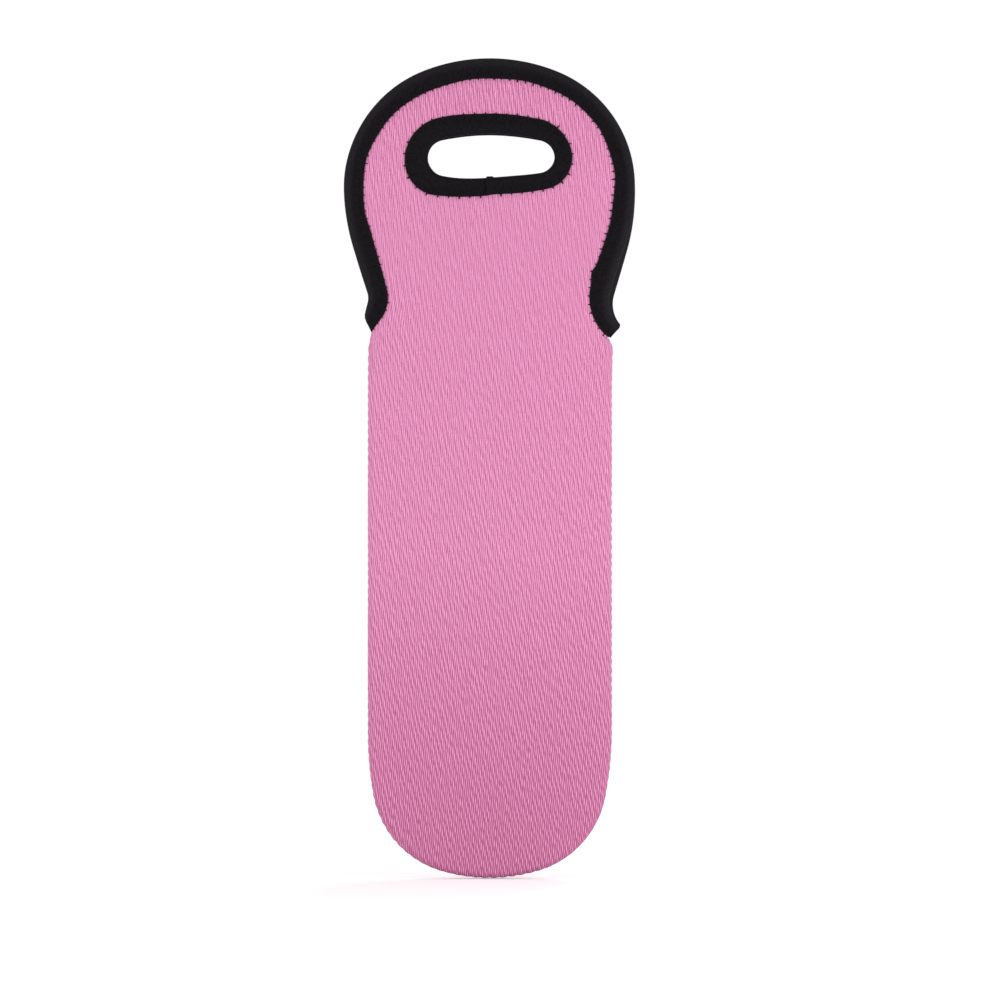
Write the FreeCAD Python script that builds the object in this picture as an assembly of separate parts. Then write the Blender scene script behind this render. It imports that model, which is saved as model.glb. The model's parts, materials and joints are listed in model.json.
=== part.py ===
import FreeCAD, Part
import math
import os

from FreeCAD import Vector

# A flat neoprene carrier for one wine bottle. The bag is upright: X is its width, the front faces -Y.
# Heights below are measured up from the base. At the end the bag is lowered so that the origin lies
# between the two handles, at the upper edge of the hand holes, where a hand or a hook carries it.

# Overall sizes, mm
bag_height = 370.0
body_width = 110.0
handle_flare = 10.5  # how far the handle stands out past the body on each side

# Panel laminate
face_thickness = 0.4
foam_thickness = 2.2
lining_thickness = 0.4

# Turned seam along the sides and the base
fold_radius = 0.2
allowance = 6.0  # flat width of the edge that is turned in
seam_gap = 0.2  # between the turned-in edges of the two panels
seam_thread_diameter = 0.5
thread_clearance = 0.05
overlock_width = 3.0
overlock_clearance = 0.1

# Outline of the pocket, from the middle of the base outwards: base, corner and flank arcs
corner_radius = 43.6
flank_radius = 159.0
base_turn = 16.8  # degrees
corner_turn = 63.3

# Outline of the handle, from the middle of the top outwards: crown, shoulder and cheek arcs, then a
# straight run and the neck, which turns back out to the corner of the mouth
crown_radius_share = 1.243  # of half the handle's width
shoulder_radius_share = 0.855
cheek_radius_share = 1.49
cheek_turn = 16.8
neck_step = 0.3  # how much narrower the neck is than the body, on each side
neck_radius = 13.0
corner_flare_turn = 44.0

# Fold line between pocket and handle
hinge_gap = 0.3

# Hand hole
hole_width = 57.0
hole_height = 19.8
hole_drop = 34.3  # from the top of the bag to the upper edge of the hole
hole_end_share = 0.8  # end radius over half the hole's height

# Binding tape, folded over the cut edges
binding_width = 8.6
binding_thickness = 0.8
binding_ease = 0.05
binding_nose_share = 2.0  # radius of the fold over the thickness of the tape
binding_nose_limit_share = 0.45  # largest radius over the thickness of the folded tape

# Zigzag stitching along the inner edge of the tape
edge_stitch_pitch = 3.6
grip_stitch_pitch = 4.8
stitch_reach_in = 2.6  # onto the tape
stitch_reach_out = 0.6  # past the tape, onto the panel
stitch_end_margin = 2.0
thread_width = 0.5
thread_height = 0.35

# Worked out from the sizes above
half_turn = 180.0
quarter_turn = 90.0
laminate = face_thickness + foam_thickness + lining_thickness
roll_radius = laminate + fold_radius
roll_offset = roll_radius + seam_gap / 2
panel_outer = roll_offset + roll_radius
panel_inner = panel_outer - laminate
overlock_thickness = 2 * fold_radius - overlock_clearance
half_body = body_width / 2
half_handle = half_body + handle_flare
grip_height = bag_height - hole_drop
tape_outer = panel_outer + binding_ease + binding_thickness
tape_inner = panel_inner - binding_ease - binding_thickness
DEPTH_AXIS = Vector(0, 1, 0)


def sign(value):
    return (value > 0) - (value < 0)


def direction(heading):
    angle = math.radians(heading)
    return Vector(math.cos(angle), 0, math.sin(angle))


def normal(heading, side):
    """Unit vector to the left of the heading, or to its right where side is -1."""
    return direction(heading + quarter_turn * side)


def arc_centre(point, heading, radius, turn):
    return point + normal(heading, sign(turn)) * radius


def advance(point, heading, size, turn, share=1.0):
    """The point and heading after a share of a straight run (no turn) or of an arc."""
    if turn == 0:
        return point + direction(heading) * (size * share), heading
    centre = arc_centre(point, heading, size, turn)
    spin = FreeCAD.Rotation(DEPTH_AXIS, -turn * share)
    return centre + spin.multVec(point - centre), heading + turn * share


class Track:
    """Right half of an outline: tangent runs and arcs in the XZ plane, with the fabric on one side."""

    def __init__(self, start, heading, side, pieces):
        self.start = start
        self.heading = heading
        self.side = side
        self.pieces = pieces

    def inset(self, depth):
        """The same outline, moved into the fabric."""
        start = self.start + normal(self.heading, self.side) * depth
        pieces = [(size - depth * self.side * sign(turn), turn) for size, turn in self.pieces]
        return Track(start, self.heading, self.side, pieces)

    def spans(self):
        point, heading = self.start, self.heading
        for size, turn in self.pieces:
            yield point, heading, size, turn
            point, heading = advance(point, heading, size, turn)

    def end(self):
        *_, last = self.spans()
        return advance(*last)[0]

    def length(self):
        return sum(edge.Length for edge in self.edges())

    def at(self, distance, reach):
        """A point some way along the outline, moved into the fabric by a reach."""
        for point, heading, size, turn in self.spans():
            span = size * math.radians(abs(turn)) if turn else size
            place, facing = advance(point, heading, size, turn, min(distance / span, 1.0))
            if distance <= span:
                break
            distance -= span
        return place + normal(facing, self.side) * reach

    def edges(self):
        edges = []
        for span in self.spans():
            end, _ = advance(*span)
            if span[-1] == 0:
                edges.append(Part.makeLine(span[0], end))
            else:
                middle, _ = advance(*span, share=1 / 2)
                edges.append(Part.Arc(span[0], middle, end).toShape())
        return edges

    def sweep(self, section):
        """One solid with a section all along the outline and along its mirror image."""
        solids = []
        for point, heading, size, turn in self.spans():
            inward = normal(heading, self.side)
            face = section(lambda inset, y: point + inward * inset + Vector(0, y, 0))
            if turn == 0:
                solids.append(face.extrude(direction(heading) * size))
            else:
                centre = arc_centre(point, heading, size, turn)
                solids.append(face.revolve(centre, DEPTH_AXIS * -sign(turn), abs(turn)))
        return fuse(solids + [mirrored(solid) for solid in solids])


def mirrored(shape):
    """The left half of the bag from its right half."""
    return shape.mirror(Vector(), Vector(1, 0, 0))


def to_back(shape):
    """The back panel's piece from the front panel's."""
    return shape.mirror(Vector(), DEPTH_AXIS)


def fuse(solids):
    return solids[0].multiFuse(solids[1:]).removeSplitter()


def closed_face(half_edges):
    """Face inside an outline whose right half is given, from one point on the middle to another."""
    edges = half_edges + [mirrored(edge) for edge in half_edges]
    return Part.Face(Part.Wire(Part.__sortEdges__(edges)))


def plate(face, y_from, y_to):
    moved = face.translated(Vector(0, y_from, 0))
    return moved.extrude(Vector(0, y_to - y_from, 0))


def polygon(points):
    return Part.Face(Part.makePolygon(points + points[:1]))


def handle_track():
    """Outer edge of the bound handle, from the middle of the top to the corner of the mouth."""
    crown = half_handle * crown_radius_share
    shoulder = half_handle * shoulder_radius_share
    cheek = half_handle * cheek_radius_share
    crown_turn = math.degrees(math.asin((half_handle - shoulder) / (crown - shoulder)))
    sine = math.sin(math.radians(cheek_turn))
    rise = 1 - math.cos(math.radians(cheek_turn))
    straight = (handle_flare + neck_step - (cheek + neck_radius) * rise) / sine
    pieces = [
        (crown, -crown_turn),
        (shoulder, crown_turn - quarter_turn),
        (cheek, -cheek_turn),
        (straight, 0),
        (neck_radius, cheek_turn + corner_flare_turn),
    ]
    return Track(Vector(0, 0, bag_height), 0, -1, pieces)


def pocket_track(top):
    """Silhouette of the pocket, from the middle of the base up to the fold line."""
    low = math.sin(math.radians(base_turn))
    high = math.sin(math.radians(base_turn + corner_turn))
    base_radius = (half_body - corner_radius * (high - low) - flank_radius * (1 - high)) / low
    pieces = [
        (base_radius, base_turn),
        (corner_radius, corner_turn),
        (flank_radius, quarter_turn - base_turn - corner_turn),
    ]
    flank_end = Track(Vector(), 0, 1, pieces).end()
    return Track(Vector(), 0, 1, pieces + [(top - flank_end.z, 0)])


def hole_track():
    """Edge of the bound hand hole: a four-centred oval, from its upper to its lower middle."""
    half_width = hole_width / 2
    half_height = hole_height / 2
    end_radius = half_height * hole_end_share
    reach = half_width - end_radius
    long_radius = (reach**2 + half_height**2 - end_radius**2) / (2 * (half_height - end_radius))
    long_turn = math.degrees(math.asin(reach / (long_radius - end_radius)))
    pieces = [
        (long_radius, -long_turn),
        (end_radius, 2 * long_turn - half_turn),
        (long_radius, -long_turn),
    ]
    return Track(Vector(0, 0, grip_height), 0, 1, pieces)


handle = handle_track()
hole = hole_track()
mouth_corner = handle.inset(binding_width).end()
fold_height = mouth_corner.z - hinge_gap
pocket = pocket_track(fold_height)


def pocket_layer(depth, thickness):
    """One layer of the front pocket panel: flat, rolled round at the seam, and turned in."""
    outer = roll_radius - depth
    inner = outer - thickness
    middle = -roll_offset
    raw_edge = roll_radius + allowance

    def section(spot):
        around = spot(roll_radius - outer, middle)
        back = spot(roll_radius - inner, middle)
        edges = [
            Part.Arc(spot(roll_radius, middle - outer), around, spot(roll_radius, middle + outer)).toShape(),
            Part.makeLine(spot(roll_radius, middle + outer), spot(raw_edge, middle + outer)),
            Part.makeLine(spot(raw_edge, middle + outer), spot(raw_edge, middle + inner)),
            Part.makeLine(spot(raw_edge, middle + inner), spot(roll_radius, middle + inner)),
            Part.Arc(spot(roll_radius, middle + inner), back, spot(roll_radius, middle - inner)).toShape(),
            Part.makeLine(spot(roll_radius, middle - inner), spot(roll_radius, middle - outer)),
        ]
        return Part.Face(Part.Wire(edges))

    inside = pocket.inset(roll_radius)
    mouth = Part.makeLine(inside.end(), Vector(0, 0, fold_height))
    flat = plate(closed_face(inside.edges() + [mouth]), middle - outer, middle - inner)
    return fuse([flat, pocket.sweep(section)])


def handle_layer(depth, thickness):
    """One layer of the front handle: a flat plate with the hand hole, cut short under the tape."""
    cut_edge = binding_thickness + binding_ease
    edge = handle.inset(cut_edge)
    end_cut = Part.makeLine(edge.end(), mouth_corner)
    fold = Part.makeLine(mouth_corner, Vector(0, 0, mouth_corner.z))
    outline = closed_face(edge.edges() + [end_cut, fold])
    opening = closed_face(hole.inset(cut_edge).edges())
    y_from = depth - panel_outer
    return plate(outline.cut(opening), y_from, y_from + thickness)


def binding_section(spot):
    """Tape folded round the laminate's edge, with a rounded nose."""
    front = -tape_outer
    back = -tape_inner
    slot_front = front + binding_thickness
    slot_back = back - binding_thickness
    limit = (back - front) * binding_nose_limit_share
    nose = min(binding_thickness * binding_nose_share, limit)
    chord = nose * (1 - math.sqrt(1 / 2))
    corners = [
        spot(0, back - nose),
        spot(nose, back),
        spot(binding_width, back),
        spot(binding_width, slot_back),
        spot(binding_thickness, slot_back),
        spot(binding_thickness, slot_front),
        spot(binding_width, slot_front),
        spot(binding_width, front),
        spot(nose, front),
        spot(0, front + nose),
    ]
    runs = [Part.makeLine(a, b) for a, b in zip(corners[1:-2], corners[2:-1])]
    front_fold = Part.Arc(corners[-2], spot(chord, front + chord), corners[-1]).toShape()
    back_fold = Part.Arc(corners[0], spot(chord, back - chord), corners[1]).toShape()
    web = Part.makeLine(corners[-1], corners[0])
    return Part.Face(Part.Wire([back_fold] + runs + [front_fold, web]))


def overlock_section(spot):
    """Thread wrapped over the two raw edges of the seam."""
    raw_edge = roll_radius + allowance
    start = raw_edge - overlock_width
    stop = raw_edge + overlock_thickness
    inner = seam_gap / 2 + laminate
    outer = inner + overlock_thickness
    return polygon([
        spot(start, -outer),
        spot(stop, -outer),
        spot(stop, outer),
        spot(start, outer),
        spot(start, inner),
        spot(raw_edge, inner),
        spot(raw_edge, -inner),
        spot(start, -inner),
    ])


def seam_thread_section(spot):
    """Round thread resting in the groove between the two rolled edges."""
    radius = seam_thread_diameter / 2
    clear = roll_radius + radius + thread_clearance
    seat = roll_radius - math.sqrt(clear**2 - roll_offset**2)
    along = (spot(seat, 0) - spot(0, 0)).cross(DEPTH_AXIS)
    circle = Part.Circle(spot(seat, 0), along, radius)
    return Part.Face(Part.Wire([circle.toShape()]))


def zigzag(track, distances):
    """Middle line of a zigzag over the tape's inner edge, from the tape to the panel and back."""
    reaches = (-stitch_reach_in, stitch_reach_out)
    return [track.at(distance, reaches[i % 2]) for i, distance in enumerate(distances)]


def mitres(points, closed):
    """Offsets at each point of a line that give it half the thread's width on either side."""
    offsets = []
    count = len(points)
    for i, point in enumerate(points):
        before = points[i - 1] if closed or i > 0 else point * 2 - points[1]
        after = points[(i + 1) % count] if closed or i < count - 1 else point * 2 - points[-2]
        arriving = (point - before).normalize().cross(DEPTH_AXIS)
        leaving = (after - point).normalize().cross(DEPTH_AXIS)
        middle = (arriving + leaving).normalize()
        offsets.append(middle * (thread_width / 2 / middle.dot(arriving)))
    return offsets


def thread_face(points, closed):
    offsets = mitres(points, closed)
    left = [point + offset for point, offset in zip(points, offsets)]
    right = [point - offset for point, offset in zip(points, offsets)]
    if not closed:
        return polygon(left + right[::-1])
    rings = [Part.makePolygon(side + side[:1]) for side in (left, right)]
    return Part.makeFace(rings, "Part::FaceMakerBullseye")


def both_sides(face):
    """The thread on the outside of the tape and its partner on the inside."""
    outside = plate(face, -tape_outer, -tape_outer - thread_height)
    inside = plate(face, -tape_inner, -tape_inner + thread_height)
    return Part.makeCompound([outside, inside])


def edge_stitching():
    line = handle.inset(binding_width)
    half_length = line.length() - stitch_end_margin
    count = round(2 * half_length / edge_stitch_pitch)
    right = zigzag(line, [half_length * i / count for i in range(count + 1)])
    left = [Vector(-point.x, point.y, point.z) for point in right[:0:-1]]
    return both_sides(thread_face(left + right, False))


def grip_stitching():
    line = hole.inset(binding_width)
    half_length = line.length()
    count = 2 * round(half_length / grip_stitch_pitch)
    right = zigzag(line, [half_length * i / count for i in range(count + 1)])
    left = [Vector(-point.x, point.y, point.z) for point in right[-2:0:-1]]
    return both_sides(thread_face(right + left, True))


def front_pieces():
    layers = {
        "face": (0, face_thickness),
        "foam": (face_thickness, foam_thickness),
        "lining": (face_thickness + foam_thickness, lining_thickness),
    }
    pieces = {}
    for name, (depth, thickness) in layers.items():
        pieces["pocket_" + name] = pocket_layer(depth, thickness)
        pieces["handle_" + name] = handle_layer(depth, thickness)
    pieces["edge_binding"] = handle.sweep(binding_section)
    pieces["edge_stitching"] = edge_stitching()
    pieces["grip_binding"] = hole.sweep(binding_section)
    pieces["grip_stitching"] = grip_stitching()
    return pieces


def export(name, shape):
    lowered = shape.translated(Vector(0, 0, -grip_height))
    lowered.exportStep("parts/" + name + ".step")


os.makedirs("parts", exist_ok=True)
for piece, solid in front_pieces().items():
    export("front_" + piece, solid)
    export("back_" + piece, to_back(solid))
export("seam_thread", pocket.sweep(seam_thread_section))
export("seam_overlock", pocket.sweep(overlock_section))
print("fold line at", fold_height - grip_height, "base at", -grip_height)
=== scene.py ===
import json
import math

import bpy
import numpy as np
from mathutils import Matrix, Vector
from mathutils.geometry import delaunay_2d_cdt


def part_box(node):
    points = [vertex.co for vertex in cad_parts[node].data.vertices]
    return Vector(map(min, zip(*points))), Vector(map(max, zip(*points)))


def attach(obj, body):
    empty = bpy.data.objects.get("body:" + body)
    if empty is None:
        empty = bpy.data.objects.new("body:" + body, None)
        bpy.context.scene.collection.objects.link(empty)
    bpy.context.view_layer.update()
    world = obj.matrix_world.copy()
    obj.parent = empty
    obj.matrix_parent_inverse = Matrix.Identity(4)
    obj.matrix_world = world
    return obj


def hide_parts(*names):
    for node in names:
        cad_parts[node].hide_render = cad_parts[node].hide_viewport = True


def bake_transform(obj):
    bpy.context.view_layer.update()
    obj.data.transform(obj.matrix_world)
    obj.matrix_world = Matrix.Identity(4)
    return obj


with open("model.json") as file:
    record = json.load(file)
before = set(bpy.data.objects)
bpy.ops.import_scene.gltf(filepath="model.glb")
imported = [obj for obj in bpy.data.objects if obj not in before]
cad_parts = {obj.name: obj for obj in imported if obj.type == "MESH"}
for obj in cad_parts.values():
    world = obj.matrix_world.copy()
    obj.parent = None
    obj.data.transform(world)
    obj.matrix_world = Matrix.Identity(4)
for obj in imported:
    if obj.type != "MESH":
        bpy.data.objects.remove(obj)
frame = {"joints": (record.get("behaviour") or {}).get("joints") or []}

# The soft pieces of a flat neoprene bottle carrier. Sizes are in millimetres and in the frame of the
# solids: X across the bag, front on the -Y side, Z up, origin at the upper edge of the hand holes.
# A piece is shaped for the front panel, with its depth counted outwards, and mirrored for the back.
MM = 0.001
FULL_TURN = 2 * math.pi

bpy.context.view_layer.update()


def node_box(node):
    low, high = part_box(node)
    return np.array(low) / MM, np.array(high) / MM


# Sizes of the solids
tape_high = node_box("front_edge_binding")[1]
pocket_low, pocket_high = node_box("front_pocket_face")
panel_outer = -node_box("front_handle_face")[0][1]
panel_inner = -node_box("front_handle_lining")[1][1]
fold = next(j for j in frame["joints"] if j["child"] == "front_handle")["pos_m"][2] / MM
top = tape_high[2]
base = pocket_low[2]
half_handle = tape_high[0]
half_body = pocket_high[0]
laminate = panel_outer - panel_inner
panel_middle = (panel_outer + panel_inner) / 2
seam_half_gap = -pocket_high[1]
roll_radius = (panel_outer - seam_half_gap) / 2
roll_offset = roll_radius + seam_half_gap

# Outline of the handle from the middle of the top, as shares of half its width and turns in degrees
crown_share = 1.243
shoulder_share = 0.855
cheek_share = 1.49
cheek_turn = 16.8
neck_step = 0.3  # how far the neck lies inside the pocket's sides
neck_radius = 13.0
corner_flare_turn = 44.0

# Outline of the pocket from the middle of the base
corner_radius = 43.6
flank_radius = 159.0
base_turn = 16.8
corner_turn = 63.3

# Hand hole
hole_half_width = 28.5
hole_half_height = 9.9
hole_end_share = 0.8

# Layers of the panel, as depths from its outer face
foam_start = 0.4
foam_end = 2.6
layer_gap = 0.01
face_depths = (0.0, foam_start - layer_gap)
foam_depths = (foam_start, foam_end)
lining_depths = (foam_end + layer_gap, laminate)
allowance = 6.0  # turned in at the seam

# Tape
tape_width = 8.6
tape_thickness = 0.55
cut_edge = 1.3  # from the tape's nose to the cut edge of the panel
lap = 2.2  # how far the tape round the hole runs over its own start
lap_rise_share = 1.1  # of the tape's thickness, that it climbs to do so
lap_climb_start = 1.6  # before its start comes round again
lap_climb_run = 1.4
end_spare = 0.6  # how far the edge tape runs past the panel at the mouth corners
end_rounding = (3.0, 1.3)  # of the edge tape's outer corner, left and right
corner_trim = 3.6  # of the panel's corner, inside the tape
width_wave = 0.22  # unevenness of the tape's width, and its wavelengths
width_wave_lengths = (23, 9)
puff_wave = 0.05  # unevenness of its fullness, as a share, and its wavelengths
puff_wave_lengths = (19, 11)
grip_seed_step = 3

# Half of the tape's outer face in section: heights over the panel's middle, at distances from the tape's
# inner edge and, round the nose, at distances from the nose
tape_leg = [(0.0, 1.6), (0.5, 1.66), (1.2, 1.74), (2.2, 1.92), (3.4, 2.14), (4.6, 2.3), (6.0, 2.36)]
tape_nose = [(3.4, 2.36), (2.6, 2.27), (1.9, 2.09), (1.3, 1.82), (0.75, 1.42), (0.3, 0.88), (0.0, 0.3)]
puff_height = 1.7  # above which the tape is free to puff out
puff_run = 0.5
shut_height = 0.6  # of the tape's faces over the middle where its ends are pressed flat
shut_depth = 4.5  # from the nose, where the flattening begins
shut_run = 2.0  # over which it grows to its full amount

# How much wider than tape_width the edge tape lies at distances from the middle of the top
edge_spread = [
    (-161, 0.2), (-155, 1.4), (-150, 0.9), (-146, 0.5), (-135, 0.7), (-120, 0.9), (-112, 0.2),
    (-98, 0.0), (-75, 0.0), (-55, 0.5), (-35, 0.9), (-15, 0.7), (0, 0.6), (15, 0.5), (40, 0.0),
    (65, -0.3), (80, 0.3), (98, 0.7), (109, 1.0), (122, 1.05), (131, 0.75), (137, 0.95), (140, 2.1),
    (142, 1.85), (146, 0.9), (153, 0.1), (161, -0.9),
]

# How much wider than tape_width the tape round the hole lies
grip_spread = 0.12  # all round
grip_spread_ends = 0.35  # at both ends of the hole
grip_spread_left = 1.05  # at its left end, and less by as much at its right end
grip_spread_above = 0.6  # above the hole, and less by as much below it
grip_spread_turn = 1.9  # by which that turns round towards the ends
grip_slant = (0.014, 0.026)  # narrowing of the lower side to the right, per mm, in its left and right half

# Zigzag thread over the tape's inner edge
edge_pitch = 3.6
grip_pitch = 4.8
reach_in = 3.8
reach_out = (0.75, 1.5)  # shortest and longest stitch past the tape
edge_lengths = (0.7, 1.15)  # of those stitches on the left and right halves, as shares
grip_lengths = (1.1, 1.15)
stitch_pull = 0.22  # how far the inner row of stitches draws the tape in
stitch_pull_swing = 0.7  # how much of that comes and goes from stitch to stitch
stitch_pull_width = 0.9
stitch_end_margin = 1.3
stitch_steps = 7
point_power = 2.2  # how narrow the zigzag's points are
arch_height = 1.1  # of the thread between its points, in thread radii
point_depth = 0.1  # of its points, likewise
thread_radius = 0.25
thread_sides = 6
edge_stitch_seed = 11
grip_stitch_seed = 21

# Threads of the seam
seam_pitch = 1.5
seam_reach = 1.9  # of a stitch, from the middle of the groove
seam_dip = 0.5  # of a stitch between the rolled edges
seam_thread_radius = 0.2
seam_end_gap = 1.0
seam_stitch_steps = 4
overlock_pitch = 2.4
overlock_width = 3.0
overlock_radius = 0.14
overlock_clearance = 0.03
overlock_steps = 4
fine_thread_sides = 5

# Softness of the panels
seeds = {"front": 0.4, "back": 2.9}  # of each panel's own unevenness
wave_turn = 2.4  # between the directions of the waves that make it up, and between their starts
wave_shift = 1.7
belly = 1.1  # how far the middle of a pocket wall stands out
belly_rise = 60.0  # over which it grows above the base
belly_ease = 0.55  # share by which it shrinks again, from a height on and over a length
belly_ease_ramp = (fold - 50.0, 70.0)
unevenness = 0.3
side_unevenness_share = 0.25  # of it, left at the panel's sides
tape_squeeze = 0.45  # how far the tape presses into each face of the panel
squeeze_ramp = (-0.6, 3.0)  # past the tape's inner edge, where the panel starts to come back, and its length
deep_squeeze = 0.3  # share by which the panel is pressed further well under the tape, likewise
deep_squeeze_ramp = (1.0, 1.5)
bend_length = 9.5  # of the panel, from the mouth line up, where the grid rows lie twice as close

# Rolled edge of the seam
pucker_pitch = 4.0  # of the seam's stitches, where they draw the rolled edge in
pucker_depth = 0.6
pucker_reach = (1.2, 0.45)  # middle and spread of a pucker round the roll, in radians
pucker_mean = 0.6  # share of that depth along the seam, with its swing, limits and wavelengths
pucker_swing = 0.5
pucker_limits = (0.15, 1.2)
pucker_wave_lengths = (53, 29)
corner_pull = 0.62  # share of the roll that is pulled flat at the mouth corners
corner_pull_length = 7.5

# Small moves that sewing leaves in a panel. Each has a middle and a spread along x and z, and its size there.
nudges = [
    ((-55.5, fold + 3), (9, 9), (0, 2.6)),
    ((55.5, fold + 3), (9, 9), (0.15, -1.1)),
    ((55, fold - 3), (8, 2.2), (1.0, 0)),
    ((-57, fold + 11), (5, 3), (-0.6, 0)),
    ((0, -10), (38, 22), (0.8, 0)),
    ((32, -10), (10, 12), (0.3, 0)),
    ((-22, -23), (11, 8), (0, -1.3)),
    ((9, -23), (10, 8), (0, 0.75)),
    ((8, 4), (16, 8), (0, -0.35)),
    ((0, 2), (14, 7), (0, 0.45)),
]
left_corner = ((-55.5, fold + 3), (9, 9))  # drawn together, in x, towards a line
left_corner_line = -54.3
left_corner_draw = 0.45
pinches = [((57, fold + 2), (9, 8)), ((-57, fold + 2), (9, 8))]  # where the two panels are drawn together
pinch = 0.55
flank_move = 0.35  # of the right side of the pocket, with the start and length of its ramps
flank_across = (40.0, 12.0)
flank_down = (-fold, 14.0)
flank_up = (-300.0, 40.0)
left_cheek_move = -0.4  # of the left side of both handles
left_cheek_across = (35.0, 20.0)
left_cheek_reach = (-22, 14)
right_cheek_across = (20.0, 30.0)
right_cheek_height = fold + 26
front_cheek = (-0.8, 15)  # move of the right side of each handle, and its reach in height
back_cheek = (1.2, 24)

# Spacing of the mesh
edge_step = 1.5
seam_step = 0.8
row_step = 1.2
row_depths = (-2.0, -0.6, 0.3, 1.0, 1.9, 3.1)  # of the rows beside a tape, past its inner edge
row_clearance = 0.7  # from the panel's edges
row_gap = 0.6
grid_step = 2.4
grid_clearance = 0.6 * grid_step
tape_step = 0.6
leg_steps = 11
roll_steps = 12
allowance_steps = 3
corner_steps = 9  # along each cut at the panel's ends
nearest_step = 0.5  # along an outline, when the nearest place on it is sought
look_back = 700  # how many earlier points a new one is compared with
enclosed_triangles = 1  # kind of result asked of the triangulation
weld_distance = 1e-5
tube_guide = (0.31, 0.94, 0.13)  # any direction that no thread follows


def smooth(share):
    share = np.clip(share, 0, 1)
    return share * share * (3 - 2 * share)


def ramp(value, begin, length):
    """From 0 where a value begins to 1 a length later, with soft ends."""
    return smooth((value - begin) / length)


def bump(value, middle, spread):
    return np.exp(-0.5 * ((value - middle) / spread) ** 2)


def patch(x, z, middle, spread):
    """From 1 at a middle to 0 well away from it."""
    return bump(x, middle[0], spread[0]) * bump(z, middle[1], spread[1])


def waves(x, z, seed, shortest=38.0, stretch=17.0, count=5):
    """Gentle unevenness from about -1 to 1, the same on every run."""
    total = 0
    for i in range(count):
        angle = seed + wave_turn * i
        along = x * math.cos(angle) + z * math.sin(angle)
        total = total + np.sin(FULL_TURN * along / (shortest + stretch * i) + wave_shift * i + seed)
    return total / math.sqrt(count)


class Track:
    """Right half of an outline: tangent runs and arcs in the XZ plane, with the fabric on one side."""

    def __init__(self, start, side, pieces):
        self.start = np.array(start, float)
        self.side = side
        self.pieces = pieces

    def inset(self, depth):
        """The same outline, moved into the fabric."""
        pieces = [(size - depth * self.side * np.sign(turn), turn) for size, turn in self.pieces]
        return Track(self.start + np.array([0, depth * self.side]), self.side, pieces)

    def spans(self):
        return [abs(size * math.radians(turn)) if turn else size for size, turn in self.pieces]

    def at(self, distance):
        """Points some way along the outline, and the directions into the fabric there."""
        distance = np.asarray(distance, float)
        points = np.zeros((len(distance), 2))
        headings = np.zeros(len(distance))
        point, heading, begin = self.start, 0.0, 0.0
        last = len(self.pieces) - 1
        for i, ((size, turn), span) in enumerate(zip(self.pieces, self.spans())):
            turn = math.radians(turn)
            here = (distance >= begin) if i == last else (distance >= begin) & (distance < begin + span)
            share = (distance[here] - begin) / span
            points[here] = point + run(heading, size, turn, share)
            headings[here] = heading + turn * share
            point = point + run(heading, size, turn, np.array([1.0]))[0]
            heading += turn
            begin += span
        facing = headings + self.side * math.pi / 2
        return points, np.stack([np.cos(facing), np.sin(facing)], axis=1)

    def length(self):
        return sum(self.spans())

    def matched(self, other, distances):
        """Distances along another inset of this outline that stand abreast of distances along this one."""
        own, others = (np.concatenate([[0], np.cumsum(track.spans())]) for track in (self, other))
        return np.sign(distances) * np.interp(np.abs(distances), own, others)

    def both(self, distances):
        """As at(), with distances below zero on the left half."""
        points, inward = self.at(np.abs(distances))
        flip = np.stack([np.where(distances < 0, -1, 1), np.ones(len(distances))], axis=1)
        return points * flip, inward * flip

    def whole(self, step):
        """Points, inward directions and distances from the left end over the middle to the right end."""
        count = round(self.length() / step)
        distances = np.linspace(-self.length(), self.length(), 2 * count + 1)
        return (*self.both(distances), distances)


def run(heading, size, turn, share):
    """The move along a share of a straight piece (no turn) or of an arc."""
    if turn == 0:
        return np.outer(share, [size * math.cos(heading), size * math.sin(heading)])
    radius = size * np.sign(turn)
    angle = heading + turn * share
    across = np.sin(angle) - math.sin(heading)
    up = math.cos(heading) - np.cos(angle)
    return radius * np.stack([across, up], axis=1)


def handle_track():
    crown = half_handle * crown_share
    shoulder = half_handle * shoulder_share
    cheek = half_handle * cheek_share
    crown_turn = math.degrees(math.asin((half_handle - shoulder) / (crown - shoulder)))
    sine = math.sin(math.radians(cheek_turn))
    rise = 1 - math.cos(math.radians(cheek_turn))
    straight = (half_handle - half_body + neck_step - (cheek + neck_radius) * rise) / sine
    pieces = [
        (crown, -crown_turn),
        (shoulder, crown_turn - 90),
        (cheek, -cheek_turn),
        (straight, 0),
        (neck_radius, cheek_turn + corner_flare_turn),
    ]
    return Track((0, top), -1, pieces)


def pocket_track():
    low = math.sin(math.radians(base_turn))
    high = math.sin(math.radians(base_turn + corner_turn))
    base_radius = (half_body - corner_radius * (high - low) - flank_radius * (1 - high)) / low
    pieces = [
        (base_radius, base_turn),
        (corner_radius, corner_turn),
        (flank_radius, 90 - base_turn - corner_turn),
    ]
    rounded = Track((0, base), 1, pieces)
    flank_end = rounded.at([rounded.length()])[0][0]
    return Track((0, base), 1, pieces + [(fold - flank_end[1], 0)])


def hole_track():
    end_radius = hole_half_height * hole_end_share
    reach = hole_half_width - end_radius
    long_radius = (reach**2 + hole_half_height**2 - end_radius**2) / (2 * (hole_half_height - end_radius))
    long_turn = math.degrees(math.asin(reach / (long_radius - end_radius)))
    pieces = [(long_radius, -long_turn), (end_radius, 2 * long_turn - 180), (long_radius, -long_turn)]
    return Track((0, 0), 1, pieces)


handle = handle_track()
pocket = pocket_track()
hole = hole_track()


def edge_width(distances):
    places, extra = np.array(edge_spread).T
    return tape_width + np.interp(distances, places, extra)


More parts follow.
